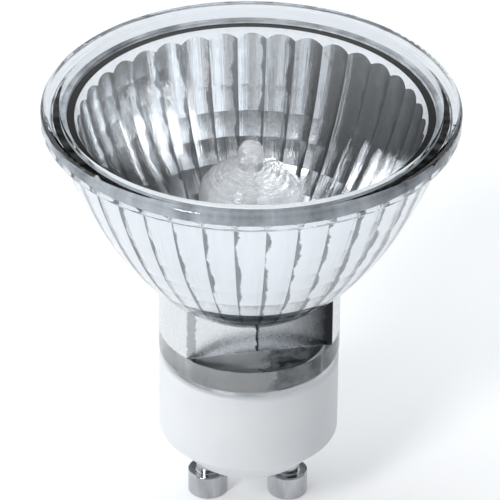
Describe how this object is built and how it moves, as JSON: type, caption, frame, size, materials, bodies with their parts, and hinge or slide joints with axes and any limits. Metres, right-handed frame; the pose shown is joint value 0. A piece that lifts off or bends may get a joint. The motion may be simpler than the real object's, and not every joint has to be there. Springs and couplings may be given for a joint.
{
  "type": "halogen reflector bulb",
  "caption": "Glass reflector lamp with a fluted mirror bowl, a clear front glass, a halogen capsule and a white ceramic twist-lock cap on two pins.",
  "frame": {"origin": "on the lamp's axis, at the lower faces of the two contact pins", "axes": "+Z along the lamp's axis, from the pins to the light opening; the two pins lie along X; the camera's side is -Y"},
  "size_m": [0.0508, 0.0508, 0.0564],
  "materials": {
    "reflector_glass": "pressed glass, mirror-coated inside the bowl",
    "cover_glass": "clear polished glass",
    "quartz": "clear fused quartz",
    "silicone": "translucent sealing bead",
    "tungsten": "drawn wire",
    "lead_wire": "drawn wire",
    "foil": "thin rolled foil",
    "cement": "set ceramic cement",
    "ceramic": "satin white steatite ceramic",
    "nickel_plate": "turned and nickel plated"
  },
  "bodies": {
    "root": {"reflector": "reflector_glass", "front_glass": "cover_glass", "front_seal": "silicone", "capsule": "quartz", "filament": "tungsten", "filament_lead_short": "lead_wire", "filament_lead_long": "lead_wire", "foil_left": "foil", "foil_right": "foil", "outer_lead_left": "lead_wire", "outer_lead_right": "lead_wire", "capsule_cement": "cement", "cap_cement": "cement", "ceramic_cap": "ceramic", "pin_left": "nickel_plate", "pin_right": "nickel_plate"}
  },
  "joints": []
}
